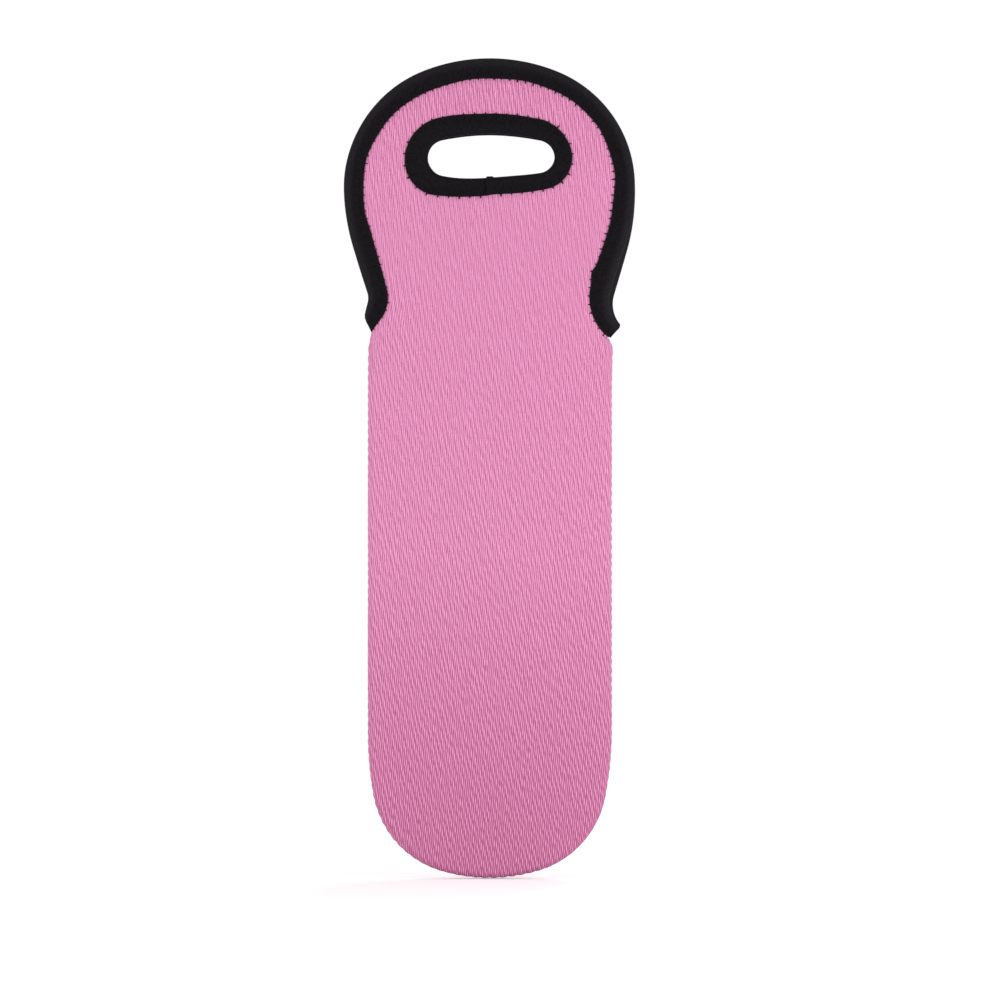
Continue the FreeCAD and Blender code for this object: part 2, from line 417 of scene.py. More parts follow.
def grip_width(distances):
    """Width of the tape round the hole, by the side of the hole that it lies on."""
    points, inward = hole.both(distances)
    across, up = inward.T
    ends = np.abs(across)
    narrower = np.where(points[:, 0] < 0, *grip_slant) * points[:, 0] * np.clip(-up, 0, 1)
    wider = grip_spread + grip_spread_ends * ends - grip_spread_left * across
    return tape_width + wider + (grip_spread_above - grip_spread_turn * ends) * up - narrower


def past_tape(track, width, spots):
    """How far spots lie past the inner edge of the tape on an outline."""
    points, inward, distances = track.whole(nearest_step)
    widths = width(distances)
    depths = np.zeros(len(spots))
    for i, spot in enumerate(spots):
        away = spot - points
        nearest = np.argmin((away**2).sum(axis=1))
        depths[i] = away[nearest] @ inward[nearest] - widths[nearest]
    return depths


def squeeze(beyond):
    """From 1 under the tape's inner edge to 0 beside it, and a little over 1 well under the tape."""
    return 1 - ramp(beyond, *squeeze_ramp) + deep_squeeze * ramp(-beyond, *deep_squeeze_ramp)


def drawn_in(height):
    """Share of the rolled edge that is pulled flat just below the mouth corners."""
    return corner_pull * ramp(height, fold - corner_pull_length, corner_pull_length)


def puckers(places, seed):
    """How far the seam's stitches draw the rolled edge in, from 0 to about 1, along the line of the roll."""
    pulled = (0.5 + 0.5 * np.cos(FULL_TURN * places / pucker_pitch)) ** 2
    level = pucker_mean + pucker_swing * waves(places, 0, seed, *pucker_wave_lengths)
    return pulled * np.clip(level, *pucker_limits)


def relief(spots, seed):
    """How far the panel's outer face stands out from flat."""
    x, z = spots[:, 0], spots[:, 1]
    crown = np.clip(1 - (x / (half_body - roll_radius)) ** 2, 0, 1)
    rise = ramp(z, base + roll_radius, belly_rise)
    rise = rise * (1 - belly_ease * ramp(z, *belly_ease_ramp))
    level = side_unevenness_share + (1 - side_unevenness_share) * crown
    return belly * crown * rise + unevenness * waves(x, z, seed) * level


def settle(points, back):
    """Small differences between left and right, and front and back, that sewing leaves."""
    x, y, z = points.T
    moved_x, moved_z = x.copy(), z.copy()
    for middle, spread, (across, up) in nudges:
        share = patch(x, z, middle, spread)
        moved_x += across * share
        moved_z += up * share
    moved_x -= left_corner_draw * patch(x, z, *left_corner) * (x - left_corner_line)
    moved_x += flank_move * ramp(x, *flank_across) * ramp(-z, *flank_down) * ramp(z, *flank_up)
    moved_x += left_cheek_move * ramp(-x, *left_cheek_across) * bump(z, *left_cheek_reach)
    cheek_move, cheek_reach = back_cheek if back else front_cheek
    moved_x += cheek_move * ramp(x, *right_cheek_across) * bump(z, right_cheek_height, cheek_reach)
    pinched = sum(patch(x, z, *place) for place in pinches)
    return np.stack([moved_x, y * (1 - pinch * pinched), moved_z], axis=1)


class Mesh:
    """Vertices for the front (depth along -Y), their weave coordinates, and faces."""

    def __init__(self, vertices, weave, faces):
        self.vertices = np.asarray(vertices, float)
        self.weave = np.asarray(weave, float)
        self.faces = faces

    def normals(self):
        total = np.zeros_like(self.vertices)
        for size in (3, 4):
            group = np.array([face for face in self.faces if len(face) == size])
            corners = self.vertices[group]
            area = np.cross(corners[:, 2] - corners[:, 0], corners[:, -1] - corners[:, 1])
            for k in range(size):
                np.add.at(total, group[:, k], area)
        return total / np.linalg.norm(total, axis=1, keepdims=True)

    def area(self):
        total = 0
        for face in self.faces:
            corners = self.vertices[list(face)]
            for k in range(1, len(face) - 1):
                total += np.linalg.norm(np.cross(corners[k] - corners[0], corners[k + 1] - corners[0])) / 2
        return total


def with_depth(flat, y):
    """Points of the XZ plane, moved along Y."""
    return np.stack([flat[:, 0], y, flat[:, 1]], axis=1)


def travelled(path):
    """Distance along a path at each of its points."""
    steps = np.linalg.norm(np.diff(path, axis=0), axis=1)
    return np.concatenate([[0], np.cumsum(steps)])


def band_faces(count, size):
    """Faces between closed rings of points, which are numbered ring by ring."""
    faces = []
    for i in range(count - 1):
        for j in range(size):
            a, b = i * size + j, i * size + (j + 1) % size
            faces.append((a, b, b + size, a + size))
    return faces


def joined(meshes):
    vertices, weave, faces, begin = [], [], [], 0
    for mesh in meshes:
        vertices.append(mesh.vertices)
        weave.append(mesh.weave)
        faces += [tuple(i + begin for i in face) for face in mesh.faces]
        begin += len(mesh.vertices)
    return Mesh(np.concatenate(vertices), np.concatenate(weave), faces)


def inside(spots, loop):
    """Which spots lie inside a closed loop."""
    hits = np.zeros(len(spots), bool)
    for (xa, za), (xb, zb) in zip(loop, np.roll(loop, -1, axis=0)):
        if za == zb:
            continue
        crosses = (za > spots[:, 1]) != (zb > spots[:, 1])
        hits ^= crosses & (spots[:, 0] < xa + (spots[:, 1] - za) * (xb - xa) / (zb - za))
    return hits


def clear_of(spots, others, gap):
    keep = np.ones(len(spots), bool)
    for i, spot in enumerate(spots):
        keep[i] = ((others - spot) ** 2).sum(axis=1).min() > gap**2
    return spots[keep]


def thinned(spots, gap):
    """The spots less those that crowd an earlier one."""
    kept = []
    for spot in spots:
        near = kept and ((np.array(kept[-look_back:]) - spot) ** 2).sum(axis=1).min() < gap**2
        if not near:
            kept.append(spot)
    return np.array(kept)


def panel_outline(seam_line):
    """Outlines of the flat part of a panel, from the line where the seam's roll begins, and of its hole."""
    edge = handle.inset(cut_edge)
    edge_line, _, distances = edge.whole(edge_step)
    edge_end = edge_line[-1]
    edge_line = edge_line[np.abs(distances) < edge.length() - corner_trim]
    inner_edge = handle.inset(tape_width)
    tip = inner_edge.at([inner_edge.length()])[0][0]
    corner = edge_end + (tip - edge_end) * corner_trim / tape_width
    end_cut = np.linspace(tip, corner, corner_steps)
    corner_cut = np.linspace(corner, edge_line[-1], corner_steps)[1:-1]
    cuts = np.concatenate([end_cut, corner_cut])
    outline = np.concatenate([seam_line, cuts, edge_line[::-1], cuts[::-1] * [-1, 1]])
    opening = hole.inset(cut_edge).whole(edge_step)[0][:-1]
    return outline, opening


def panel_spots(outline, opening):
    """Mesh points of the flat panel: its edges, rows beside the tapes, and a grid elsewhere."""
    rows = []
    for track, width in ((handle, edge_width), (hole, grip_width)):
        points, inward, distances = track.whole(row_step)
        for depth in row_depths:
            rows.append(points + inward * (width(distances) + depth)[:, None])
    rows = np.concatenate(rows)
    edges = np.concatenate([outline, opening])
    rows = clear_of(rows[inside(rows, outline)], edges, row_clearance)
    rows = thinned(rows, row_gap)

    across = np.arange(-half_handle, half_handle, grid_step)
    below = np.arange(base, fold, grid_step)
    bend = np.arange(fold, fold + bend_length, grid_step / 2)
    above = np.arange(bend[-1], top, grid_step)[1:]
    upwards = np.concatenate([below, bend, above])
    grid = np.array([(x + 0.5 * grid_step * (i % 2), z) for i, z in enumerate(upwards) for x in across])
    grid = grid[inside(grid, outline) & ~inside(grid, opening)]
    grid = clear_of(grid, np.concatenate([edges, rows]), grid_clearance)
    return np.concatenate([edges, rows, grid])


def ring(count, begin):
    """Edges of a closed loop of points that are numbered in a row."""
    return [(begin + i, begin + (i + 1) % count) for i in range(count)]


def triangulated(spots, outline, opening):
    """Points and triangles of the flat panel."""
    edges = ring(len(outline), 0) + ring(len(opening), len(outline))
    places = [Vector(spot) for spot in spots]
    found, _, triangles, _, _, _ = delaunay_2d_cdt(places, edges, [], enclosed_triangles, weld_distance)
    found = np.array([tuple(spot) for spot in found])
    middles = found[np.array(triangles)].mean(axis=1)
    kept = inside(middles, outline) & ~inside(middles, opening)
    return found, [tuple(face) for face, keep in zip(triangles, kept) if keep]


def panel_sheet(seed):
    """Outer face of the front panel, from the turned-in seam edge to the cut edges under the tape.

    Gives the open sheet and each point's share of the full thickness.
    """
    seam_line, seam_inward, seam_places = pocket.inset(roll_radius).whole(seam_step)
    outline, opening = panel_outline(seam_line)
    found, faces = triangulated(panel_spots(outline, opening), outline, opening)

    pressed = squeeze(past_tape(handle, edge_width, found))
    pressed = np.maximum(pressed, squeeze(past_tape(hole, grip_width, found)))
    depth = panel_outer + relief(found, seed) * np.clip(1 - pressed, 0, 1) - tape_squeeze * pressed
    thickness = 1 - 2 * tape_squeeze / laminate * pressed

    vertices, weave, shares = [with_depth(found, -depth)], [found], [thickness]
    count = len(seam_line)
    proud = depth[:count] - panel_outer
    full = 1 - drawn_in(seam_line[:, 1])
    pulled = puckers(seam_places, seed)
    before = list(range(count))
    start = len(found)
    for step in range(1, roll_steps + allowance_steps + 1):
        turned = math.pi * min(step / roll_steps, 1)
        outwards = max(math.cos(turned), 0)
        legs = allowance * max(step - roll_steps, 0) / allowance_steps
        radius = roll_radius - pucker_depth * pulled * bump(turned, *pucker_reach)
        out = (radius * math.sin(turned) * full - legs)[:, None]
        y = -roll_offset - radius * math.cos(turned) - proud * outwards
        vertices.append(with_depth(seam_line - seam_inward * out, y))
        weave.append(seam_line - seam_inward * (turned * roll_radius + legs))
        shares.append(1 - (1 - thickness[:count]) * outwards)
        now = list(range(start, start + count))
        faces += [(before[i + 1], before[i], now[i], now[i + 1]) for i in range(count - 1)]
        before = now
        start += count
    sheet = Mesh(np.concatenate(vertices), np.concatenate(weave), faces)
    return sheet, np.concatenate(shares)


def layer(sheet, shares, depths):
    """A closed layer of the panel between two depths below its outer face."""
    normals = sheet.normals()
    near, far = (sheet.vertices - normals * (shares * depth)[:, None] for depth in depths)
    count = len(near)
    edges = {}
    for face in sheet.faces:
        for a, b in zip(face, face[1:] + face[:1]):
            edges[a, b] = True
    rim = [(b, a, a + count, b + count) for a, b in edges if (b, a) not in edges]
    back = [tuple(i + count for i in face[::-1]) for face in sheet.faces]
    return Mesh(np.concatenate([near, far]), np.tile(sheet.weave, (2, 1)), sheet.faces + back + rim)


def groove(beyond):
    """How far the inner row of stitches draws the tape in, from 0 to 1, by distance past its inner edge."""
    return np.exp(-(((beyond + reach_in) / stitch_pull_width) ** 2))


def tape_section(widths, fullness, pull, cuts, shut):
    """Outer face of the tape at each place along it, from its front edge round the nose to its back edge.

    shut is how far the fold is pressed flat there, from 0 to 1.
    """
    nose_in, nose_out = np.array(tape_nose).T
    back = np.linspace(0, 1, leg_steps, endpoint=False)[None, :] * (widths - nose_in[0])[:, None]
    leg_out = np.interp(back, *np.array(tape_leg).T)
    u = np.concatenate([widths[:, None] - back, np.tile(nose_in, (len(widths), 1))], axis=1)
    out = np.concatenate([leg_out, np.tile(nose_out, (len(widths), 1))], axis=1)
    out = out * (1 + fullness[:, None] * ramp(out, puff_height, puff_run))
    out = out - pull[:, None] * groove(u - widths[:, None])
    flattened = shut[:, None] * ramp(-u, -shut_depth, shut_run)
    out = out - flattened * np.clip(out - shut_height, 0, None)
    u = u + (1 - u / widths[:, None]) * cuts[:, None]
    front = np.stack([u, out], axis=2)
    rear = np.stack([u, -out], axis=2)[:, ::-1]
    return np.concatenate([front, rear], axis=1)


def offset_inwards(sections, thickness):
    along = np.gradient(sections, axis=1)
    across = np.stack([along[:, :, 1], -along[:, :, 0]], axis=2)
    across /= np.linalg.norm(across, axis=2, keepdims=True)
    return sections - across * thickness


def tape(track, width, distances, pitch, seed, lift, rounding, shut):
    """Tape folded over a cut edge.

    lift raises it over its own start, rounding takes off its ends' outer corners, and shut presses it flat.
    """
    points, inward = track.both(distances)
    stitch = np.cos(FULL_TURN * distances / pitch)
    widths = width(distances) + width_wave * waves(distances, 0, seed, *width_wave_lengths)
    fullness = puff_wave * waves(distances, 0, seed + 1, *puff_wave_lengths)
    pull = stitch_pull * (1 + stitch_pull_swing * stitch)
    cuts = sum(
        radius - np.sqrt(radius**2 - np.clip(side * distances - (distances[-1] - radius), 0, radius) ** 2)
        for side, radius in zip((-1, 1), rounding)
    )
    outer = offset_inwards(tape_section(widths, fullness, pull, cuts, shut), -lift[:, None, None])
    inner = offset_inwards(outer, tape_thickness)
    rings = np.concatenate([outer, inner[:, ::-1]], axis=1)
    flat = points[:, None, :] + inward[:, None, :] * rings[:, :, :1]
    depth = panel_middle + rings[:, :, 1]
    vertices = np.stack([flat[:, :, 0], -depth, flat[:, :, 1]], axis=2)
    around = travelled(outer[0])
    around = np.concatenate([around, around[::-1]]) - around[-1] / 2
    weave = np.stack(np.broadcast_arrays(distances[:, None], around[None, :]), axis=2)
    count, size = vertices.shape[:2]
    faces = band_faces(count, size)
    half = size // 2
    for begin, order in ((0, 1), ((count - 1) * size, -1)):
        for j in range(half - 1):
            cap = (j, size - 1 - j, size - 2 - j, j + 1)[::order]
            faces.append(tuple(begin + k for k in cap))
    return Mesh(vertices.reshape(-1, 3), weave.reshape(-1, 2), faces)


def tube(path, radius, sides):
    """A round thread along a path, with closed ends."""
    path = np.asarray(path, float)
    along = np.gradient(path, axis=0)
    along /= np.linalg.norm(along, axis=1, keepdims=True)
    up = np.zeros_like(path)
    guide = np.array(tube_guide)
    for i, direction in enumerate(along):
        guide = guide - direction * (guide @ direction)
        guide = guide / np.linalg.norm(guide)
        up[i] = guide
    side = np.cross(along, up)
    angles = FULL_TURN * np.arange(sides) / sides
    rings = path[:, None] + radius * (
        up[:, None] * np.cos(angles)[None, :, None] + side[:, None] * np.sin(angles)[None, :, None]
    )
    weave = np.stack(np.broadcast_arrays(travelled(path)[:, None], angles[None, :] * radius), axis=2)
    faces = [(a, d, c, b) for a, b, c, d in band_faces(len(path), sides)]
    last = (len(path) - 1) * sides
    faces.append(tuple(range(sides)))
    faces.append(tuple(last + j for j in range(sides))[::-1])
    return Mesh(rings.reshape(-1, 3), weave.reshape(-1, 2), faces)


def seat_height(beyond):
    """Height over the panel's middle of the surface that a stitch lies on, near the tape's inner edge."""
    on_tape = np.interp(-beyond, *np.array(tape_leg).T) - stitch_pull * groove(beyond)
    on_panel = laminate / 2 - tape_squeeze * squeeze(np.maximum(beyond, 0))
    return np.where(beyond <= 0, on_tape, on_panel)


def zigzag(track, width, margin, pitch, lengths, seed):
    """The outer and the inner thread of a zigzag over the tape's inner edge, with narrow points."""
    line = track.inset(tape_width)
    half_length = line.length() - margin
    count = round(half_length * 2 / pitch)
    nodes = np.arange(-count, count + 1)
    places = np.arange(len(nodes) * stitch_steps - stitch_steps + 1) / stitch_steps + nodes[0]
    begun = np.floor(places)
    share = places - begun
    outwards = begun % 2 == 0
    reached = begun + np.where(outwards, 1 - (1 - share) ** point_power, share**point_power)
    past = np.random.default_rng(seed).uniform(*reach_out, len(nodes)) * np.where(nodes < 0, *lengths)
    beyond = np.interp(places, nodes, np.where(nodes % 2 == 0, -reach_in, past))
    distances = reached * half_length / count
    points, inward = line.both(distances)
    widths = width(line.matched(track, distances))
    flat = points + inward * (widths - tape_width + beyond)[:, None]
    arch = arch_height * np.sqrt(np.sin(math.pi * share)) - point_depth
    height = seat_height(beyond) + thread_radius * arch
    threads = []
    for face in (1, -1):
        path = with_depth(flat, -(panel_middle + face * height))
        threads.append(tube(path, thread_radius, thread_sides))
    return joined(threads)


def seam_stitches():
    """Thread that crosses the groove of the seam from one rolled edge to the other."""
    count = round(pocket.length() / seam_pitch * 2)
    places = np.arange(-count * seam_stitch_steps, count * seam_stitch_steps + 1) / seam_stitch_steps
    crossing = np.abs((places + 1) % 2 - 1) * 2 - 1
    distances = places * (pocket.length() - seam_end_gap) / count
    points, inward = pocket.both(distances)
    y = seam_reach * np.sin(crossing * math.pi / 2)
    reach_down = math.sqrt((roll_radius + seam_thread_radius) ** 2 - (roll_offset - seam_reach) ** 2)
    sunk = roll_radius - reach_down + seam_dip * (1 - (y / seam_reach) ** 2)
    sunk = sunk + roll_radius * drawn_in(points[:, 1])
    abreast = pocket.matched(pocket.inset(roll_radius), distances)
    pulled = np.maximum(puckers(abreast, seeds["front"]), puckers(abreast, seeds["back"]))
    flat = points + inward * (sunk + pucker_depth * pulled)[:, None]
    return tube(with_depth(flat, y), seam_thread_radius, fine_thread_sides)


def overlock_loops():
    """Thread wrapped over the two raw edges of the turned-in seam, back and forth."""
    raw = roll_radius + allowance + overlock_radius + overlock_clearance
    back = raw - overlock_width
    face = seam_half_gap + laminate + overlock_radius + overlock_clearance
    over = [(back, -face), (raw, -face), (raw, face), (back, face)]
    count = round(2 * (pocket.length() - seam_end_gap) / overlock_pitch)
    distances, corners = [], []
    for k in range(count):
        for corner in over if k % 2 == 0 else over[::-1]:
            distances.append((k - (count - 1) / 2) * overlock_pitch)
            corners.append(corner)
    order = np.arange(len(distances))
    fine = np.arange(0, len(distances) - 1, 1 / overlock_steps)
    sunk, y = (np.interp(fine, order, values) for values in np.array(corners).T)
    points, inward = pocket.both(np.interp(fine, order, distances))
    flat = points + inward * sunk[:, None]
    return tube(with_depth(flat, y), overlock_radius, fine_thread_sides)


# Materials. Places on the weave are in millimetres, and so are heights on the bag. Bump is in metres.

# Waves of the knit, as cycles per millimetre across and down, and their shares of its height
rib_wave = (1.037, 0.0864)
dash_wave = (0.443, -0.13)
fine_wave = (0.68, -0.1)
rib_share = 0.36
dash_share = 0.16
fine_share = 0.145
fibre_share = 0.5

# How the waves wander: noise along the ribs, and how much of it each wave takes
drift_amount = 9.0
rib_drift = 0.45
fine_drift = -1.0

# Rows of the knit lag behind the more, the further they are from a level row
level_row = -150.0
row_lag = -0.0008

# How patchy and bold the knit is by height, and how painted shade darkens its colour by height: from one
# height to another, from one amount to another
patchy_by_height = (-130.0, -310.0, 1.5, 0.45)
bold_downwards = (-46.0, base, 0.54, 1.56)
bold_upwards = (-46.0, 25.0, 0.0, 0.45)
# Painted shade: the knit is much darker towards the base and a little darker towards the crown
painted_shade_downwards = (-190.0, base, 0.5, 0.16)
painted_shade_upwards = (-20.0, 25.0, 0.0, -0.09)

# Black tape
tape_rib_wave = (0.55, 1.3)
tape_cross_wave = (1.3, 0.0)
tape_rib_share = 0.16
tape_cross_share = 0.08
tape_contrast = 0.5
painted_highlight_reach = 4.4  # of the painted highlight along the fold, from the middle of the tape

# Thread and foam
twist_wave = (1.5, 1.8)
twist_contrast = 0.4
foam_cells = 2600.0  # per metre


def add_node(tree, kind, inputs=None, **settings):
    node = tree.nodes.new(kind)
    for name, value in settings.items():
        setattr(node, name, value)
    for key, value in (inputs or {}).items():
        if isinstance(value, bpy.types.NodeSocket):
            tree.links.new(value, node.inputs[key])
        else:
            node.inputs[key].default_value = value
    return node


def calc(tree, operation, *values):
    return add_node(tree, "ShaderNodeMath", dict(enumerate(values)), operation=operation).outputs[0]


def new_material(name):
    material = bpy.data.materials.new(name)
    material.use_nodes = True
    material.node_tree.nodes.clear()
    return material, material.node_tree


def surface(tree, colour, height, distance, strength, **fixed):
    """A fabric's shader: colour and bump come from nodes, everything else is a plain number."""
    inputs = {"Strength": strength, "Distance": distance, "Height": height}
    raised = add_node(tree, "ShaderNodeBump", inputs)
    inputs = {"Base Color": colour, "Normal": raised.outputs[0]}
    inputs.update({name.replace("_", " "): value for name, value in fixed.items()})
    shader = add_node(tree, "ShaderNodeBsdfPrincipled", inputs)
    add_node(tree, "ShaderNodeOutputMaterial", {"Surface": shader.outputs[0]})


def weave_coordinates(tree):
    return add_node(tree, "ShaderNodeUVMap", uv_map="weave").outputs[0]


def ripple(tree, place, wave, shift):
    """A wave over the weave, from -1 to 1."""
    across, down = wave
    scale = (FULL_TURN * across, -FULL_TURN * down, 0)
    phase = add_node(tree, "ShaderNodeVectorMath", {0: place, 1: scale}, operation="DOT_PRODUCT")
    return calc(tree, "SINE", calc(tree, "ADD", phase.outputs["Value"], shift))


def mix_colour(tree, share, dark, light):
    inputs = {"Factor": share, 6: (*dark, 1), 7: (*light, 1)}
    return add_node(tree, "ShaderNodeMix", inputs, data_type="RGBA").outputs[2]


def noise_value(tree, place, scale, detail, stretch=(1, 1, 1)):
    stretched = add_node(tree, "ShaderNodeVectorMath", {0: place, 1: stretch}, operation="MULTIPLY")
    inputs = {"Vector": stretched.outputs[0], "Scale": scale, "Detail": detail}
    return add_node(tree, "ShaderNodeTexNoise", inputs).outputs[0]


def fade(tree, value, begin, end, low, high, kind="LINEAR"):
    """A number that runs from low to high while a value runs from begin to end, and stays there."""
    inputs = {"Value": value, "From Min": begin, "From Max": end, "To Min": low, "To Max": high}
    return add_node(tree, "ShaderNodeMapRange", inputs, interpolation_type=kind).outputs[0]


def jersey(name, dark, light):
    """Fine knit whose upright ribs break into slanting dashes, bolder towards the base and the crown, with
    painted shade that darkens it towards the base and the crown.
    """
    material, tree = new_material(name)
    flat = weave_coordinates(tree)
    height = add_node(tree, "ShaderNodeSeparateXYZ", {0: flat}).outputs[1]
    above = calc(tree, "ADD", height, -level_row)
    lag = calc(tree, "MULTIPLY", calc(tree, "MULTIPLY", above, above), row_lag)
    shift = add_node(tree, "ShaderNodeCombineXYZ", {1: lag}).outputs[0]
    place = add_node(tree, "ShaderNodeVectorMath", {0: flat, 1: shift}, operation="ADD").outputs[0]

    wander = noise_value(tree, flat, scale=0.3, detail=1, stretch=(1, 0.2, 1))
    drift = calc(tree, "MULTIPLY", wander, drift_amount)
    rib = ripple(tree, place, rib_wave, calc(tree, "MULTIPLY", drift, rib_drift))
    dash = ripple(tree, place, dash_wave, drift)
    fine = ripple(tree, place, fine_wave, calc(tree, "MULTIPLY", drift, fine_drift))

    fibre = noise_value(tree, flat, scale=1.6, detail=3, stretch=(1, 0.6, 1))
    patches = noise_value(tree, flat, scale=0.9, detail=1, stretch=(1, 0.5, 1))
    uneven = fade(tree, height, *patchy_by_height)
    patchy = calc(tree, "SUBTRACT", patches, 0.5)
    rough = calc(tree, "MULTIPLY", calc(tree, "SUBTRACT", fibre, 0.5), uneven)
    knit = calc(tree, "MULTIPLY", rib, calc(tree, "MULTIPLY_ADD", patchy, uneven, rib_share))
    for part, share in ((dash, dash_share), (fine, fine_share), (rough, fibre_share)):
        knit = calc(tree, "MULTIPLY_ADD", part, share, knit)

    bold = calc(tree, "ADD", fade(tree, height, *bold_downwards), fade(tree, height, *bold_upwards))
    # Painted shade: the knit's colour is darker towards the base and towards the crown
    level_with_painted_shade = calc(tree, "ADD", fade(tree, height, *painted_shade_downwards), fade(tree, height, *painted_shade_upwards))
    colour = mix_colour(tree, calc(tree, "MULTIPLY_ADD", knit, bold, level_with_painted_shade), dark, light)
    surface(
        tree, colour, knit, distance=0.00008, strength=0.25,
        Roughness=0.88, Sheen_Weight=0.05, Sheen_Roughness=0.5, Specular_IOR_Level=0.2,
    )
    return material


def bias_tape(name, dark, light, painted_highlight):
    """Black knitted tape: fine ribs along its length, a faint nap, and a painted highlight that makes its
    fold paler.
    """
    material, tree = new_material(name)
    place = weave_coordinates(tree)
    rib = ripple(tree, place, tape_rib_wave, 0.0)
    cross = ripple(tree, place, tape_cross_wave, 0.0)
    nap = noise_value(tree, place, scale=0.8, detail=4)
    knit = calc(tree, "MULTIPLY_ADD", rib, tape_rib_share, nap)
    knit = calc(tree, "MULTIPLY_ADD", cross, tape_cross_share, knit)
    from_fold = calc(tree, "ABSOLUTE", add_node(tree, "ShaderNodeSeparateXYZ", {0: place}).outputs[1])
    # Painted highlight: the tape is paler along its fold, fading away from the middle of the fold
    stretched = fade(tree, from_fold, 0.0, painted_highlight_reach, painted_highlight, 0.0, "SMOOTHSTEP")
    colour = mix_colour(tree, calc(tree, "MULTIPLY_ADD", knit, tape_contrast, stretched), dark, light)
    surface(
        tree, colour, knit, distance=0.0001, strength=0.7,
        Roughness=0.8, Sheen_Weight=0.1, Sheen_Roughness=0.3, Specular_IOR_Level=0.03,
    )
    return material


def spun_thread(name, dark, light, gloss):
    """Two-ply thread: a twist that runs round it."""
    material, tree = new_material(name)
    twist = ripple(tree, weave_coordinates(tree), twist_wave, 0.0)
    colour = mix_colour(tree, calc(tree, "MULTIPLY_ADD", twist, twist_contrast, 0.5), dark, light)
    surface(
        tree, colour, twist, distance=0.00008, strength=0.7,
        Roughness=0.6, Specular_IOR_Level=gloss,
    )
    return material


def sponge(name, dark, light):
    """Cut neoprene: dark, with fine open cells."""
    material, tree = new_material(name)
    place = add_node(tree, "ShaderNodeTexCoord").outputs["Object"]
    cells = add_node(tree, "ShaderNodeTexVoronoi", {"Vector": place, "Scale": foam_cells}).outputs["Distance"]
    colour = mix_colour(tree, cells, dark, light)
    surface(
        tree, colour, cells, distance=0.0001, strength=0.8,
        Roughness=0.92, Specular_IOR_Level=0.2,
    )
    return material


tape_colours = ((0.003, 0.0024, 0.0035), (0.03, 0.0266, 0.0315))
black_thread = ((0.01, 0.0088, 0.0105), (0.022, 0.0196, 0.0232))
materials = {
    "face_jersey": jersey("face_jersey", (0.485, 0.118, 0.26), (0.98, 0.42, 0.69)),
    "lining_jersey": jersey("lining_jersey", (0.45, 0.12, 0.24), (0.9, 0.38, 0.62)),
    "neoprene_foam": sponge("neoprene_foam", (0.018, 0.016, 0.018), (0.045, 0.042, 0.045)),
    # Painted highlight along the tapes' folds: faint on the tape round the hole, strong on the edge tape
    "binding_tape": bias_tape("binding_tape", *tape_colours, painted_highlight=0.05),
    "edge_tape": bias_tape("edge_tape", *tape_colours, painted_highlight=0.42),
    "binding_thread": spun_thread("binding_thread", *black_thread, gloss=0.02),
    "seam_thread": spun_thread("seam_thread", (0.38, 0.14, 0.24), (0.62, 0.28, 0.42), gloss=0.2),
}


# Pieces


def add_object(name, data):
    thing = bpy.data.objects.new(name, data)
    bpy.context.scene.collection.objects.link(thing)
    return thing


def place_piece(name, nodes, mesh, slot, back, look=None):
    """A mesh object that stands for nodes, with the weave's coordinates and the slot's or another look."""
    vertices = settle(mesh.vertices, back)
    faces = mesh.faces
    if back:
        vertices = vertices * [1, -1, 1]
        faces = [face[::-1] for face in faces]
    data = bpy.data.meshes.new(name)
    data.from_pydata(vertices * MM, [], faces)
    layer_data = data.uv_layers.new(name="weave")
    loops = np.zeros(len(data.loops), int)
    data.loops.foreach_get("vertex_index", loops)
    layer_data.data.foreach_set("uv", mesh.weave[loops].ravel())
    data.polygons.foreach_set("use_smooth", np.ones(len(data.polygons), bool))
    data.materials.append(materials[look or slot])
    piece = add_object(name, data)
    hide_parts(*nodes)
    return piece


def across_fold(piece):
    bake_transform(piece)


def build_panel(side, seed):
    back = side == "back"
    sheet, shares = panel_sheet(seed)
    layers = {
        "face": ("face_jersey", face_depths),
        "foam": ("neoprene_foam", foam_depths),
        "lining": ("lining_jersey", lining_depths),
    }
    for name, (slot, depths) in layers.items():
        nodes = [side + "_pocket_" + name, side + "_handle_" + name]
        mesh = layer(sheet, shares, depths)
        piece = place_piece(side + "_" + name + "_panel", nodes, mesh, slot, back)
        across_fold(piece)
        if name == "foam":
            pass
        else:
            sheet.area() * MM * MM


def build_edge(side, seed):
    back = side == "back"
    half = handle.length() + end_spare
    distances = np.linspace(-half, half, 2 * round(half / tape_step) + 1)
    level = np.zeros(len(distances))
    shut = ramp(np.abs(distances), half - corner_trim, corner_trim)
    mesh = tape(handle, edge_width, distances, edge_pitch, seed, level, end_rounding, shut)
    edge = place_piece(side + "_edge_tape", [side + "_edge_binding"], mesh, "binding_tape", back, "edge_tape")
    across_fold(edge)
    stitch_seed = edge_stitch_seed + back
    mesh = zigzag(handle, edge_width, stitch_end_margin, edge_pitch, edge_lengths, stitch_seed)
    thread = place_piece(side + "_edge_zigzag", [side + "_edge_stitching"], mesh, "binding_thread", back)
    across_fold(thread)


def build_grip(side, seed):
    back = side == "back"
    half = hole.length()
    distances = np.linspace(-half, half + lap, round((2 * half + lap) / tape_step) + 1)
    open_ends = np.zeros(len(distances))
    lift = lap_rise_share * tape_thickness * ramp(distances, half - lap_climb_start, lap_climb_run)
    mesh = tape(hole, grip_width, distances, grip_pitch, seed + grip_seed_step, lift, (0, 0), open_ends)
    grip = place_piece(side + "_grip_tape", [side + "_grip_binding"], mesh, "binding_tape", back)
    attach(grip, side + "_handle")
    mesh = zigzag(hole, grip_width, lap, grip_pitch, grip_lengths, grip_stitch_seed + back)
    thread = place_piece(side + "_grip_zigzag", [side + "_grip_stitching"], mesh, "binding_thread", back)
    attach(thread, side + "_handle")


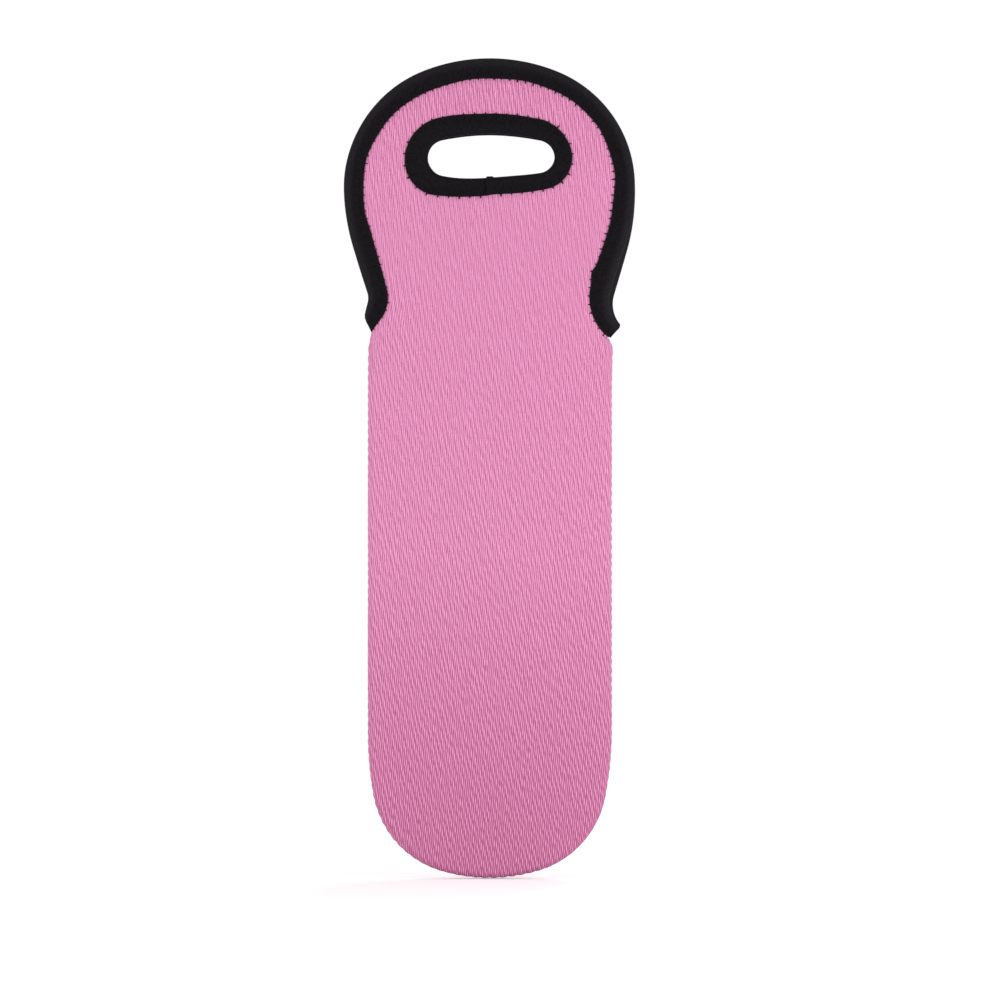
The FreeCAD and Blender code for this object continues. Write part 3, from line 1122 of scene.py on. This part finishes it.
for side, seed in seeds.items():
    build_panel(side, seed)
    build_edge(side, seed)
    build_grip(side, seed)
stitches = place_piece("seam_stitches", ["seam_thread"], seam_stitches(), "seam_thread", False)
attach(stitches, "pocket")
loops = place_piece("seam_overlock_loops", ["seam_overlock"], overlock_loops(), "seam_thread", False)
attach(loops, "pocket")


# Stage, light and camera, in metres

floor_size = 6.0
floor_drop = 0.0004  # below the base
floor_grey = 0.8
floor_glow = (0.1, 0.7, 0.4, 0.7)  # from one distance to another, from one strength to another
floor_clearing = (0.6, 1.4, 0.0, 1.0)  # likewise, how far it fades into the background
studio_level = 0.43  # light of the world on the bag
camera_distance = 2.5
camera_across = 0.00496
camera_height = -0.16523
frame_width = 0.4514  # that the camera sees at the panel
sensor_width = 36.0


def seen_directly(tree):
    """1 on rays from the camera and in reflections and glass, and 0 on light that reaches other surfaces."""
    path = add_node(tree, "ShaderNodeLightPath")
    seen = calc(tree, "MAXIMUM", path.outputs["Is Camera Ray"], path.outputs["Is Glossy Ray"])
    return calc(tree, "MAXIMUM", seen, path.outputs["Is Transmission Ray"])


def build_floor():
    bpy.ops.mesh.primitive_plane_add(size=floor_size, location=(0, 0, base * MM - floor_drop))
    floor = bpy.context.object
    floor.name = "floor"
    material, tree = new_material("floor")
    matt = add_node(tree, "ShaderNodeBsdfDiffuse", {"Color": (floor_grey, floor_grey, floor_grey, 1)})
    place = add_node(tree, "ShaderNodeTexCoord").outputs["Object"]
    far = add_node(tree, "ShaderNodeVectorMath", {0: place}, operation="LENGTH").outputs["Value"]
    level = calc(tree, "MULTIPLY", seen_directly(tree), fade(tree, far, *floor_glow))
    glow = add_node(tree, "ShaderNodeEmission", {"Strength": level})
    both = add_node(tree, "ShaderNodeAddShader", {0: matt.outputs[0], 1: glow.outputs[0]})
    clear = add_node(tree, "ShaderNodeBsdfTransparent")
    inputs = {0: fade(tree, far, *floor_clearing), 1: both.outputs[0], 2: clear.outputs[0]}
    mixed = add_node(tree, "ShaderNodeMixShader", inputs)
    add_node(tree, "ShaderNodeOutputMaterial", {"Surface": mixed.outputs[0]})
    floor.data.materials.append(material)


def build_world():
    world = bpy.data.worlds.new("studio")
    world.use_nodes = True
    tree = world.node_tree
    tree.nodes.clear()
    level = fade(tree, seen_directly(tree), 0.0, 1.0, studio_level, 1.0)
    sky = add_node(tree, "ShaderNodeBackground", {"Color": (1, 1, 1, 1), "Strength": level})
    add_node(tree, "ShaderNodeOutputWorld", {"Surface": sky.outputs[0]})
    bpy.context.scene.world = world


def soft_light(name, place, target, size, power):
    lamp = bpy.data.lights.new(name, "AREA")
    lamp.shape = "DISK"
    lamp.size = size
    lamp.energy = power
    thing = add_object(name, lamp)
    thing.location = place
    thing.rotation_euler = (Vector(target) - Vector(place)).to_track_quat("-Z", "Y").to_euler()


def build_camera():
    camera = bpy.data.cameras.new("camera")
    camera.sensor_fit = "HORIZONTAL"
    camera.sensor_width = sensor_width
    camera.lens = sensor_width * camera_distance / frame_width
    thing = add_object("camera", camera)
    thing.location = (camera_across, -panel_outer * MM - camera_distance, camera_height)
    thing.rotation_euler = (math.pi / 2, 0, 0)
    bpy.context.scene.camera = thing


build_floor()
build_world()
soft_light("key_left", place=(-0.68, -0.48, 0.0), target=(0, 0, -0.06), size=0.45, power=2.87)
soft_light("key_right", place=(0.68, -0.48, 0.0), target=(0, 0, -0.06), size=0.45, power=3.43)
soft_light("fill", place=(0.3, 0.75, 0.25), target=(0, 0, -0.1), size=0.5, power=4.0)
build_camera()
bpy.context.scene.view_settings.view_transform = "Standard"
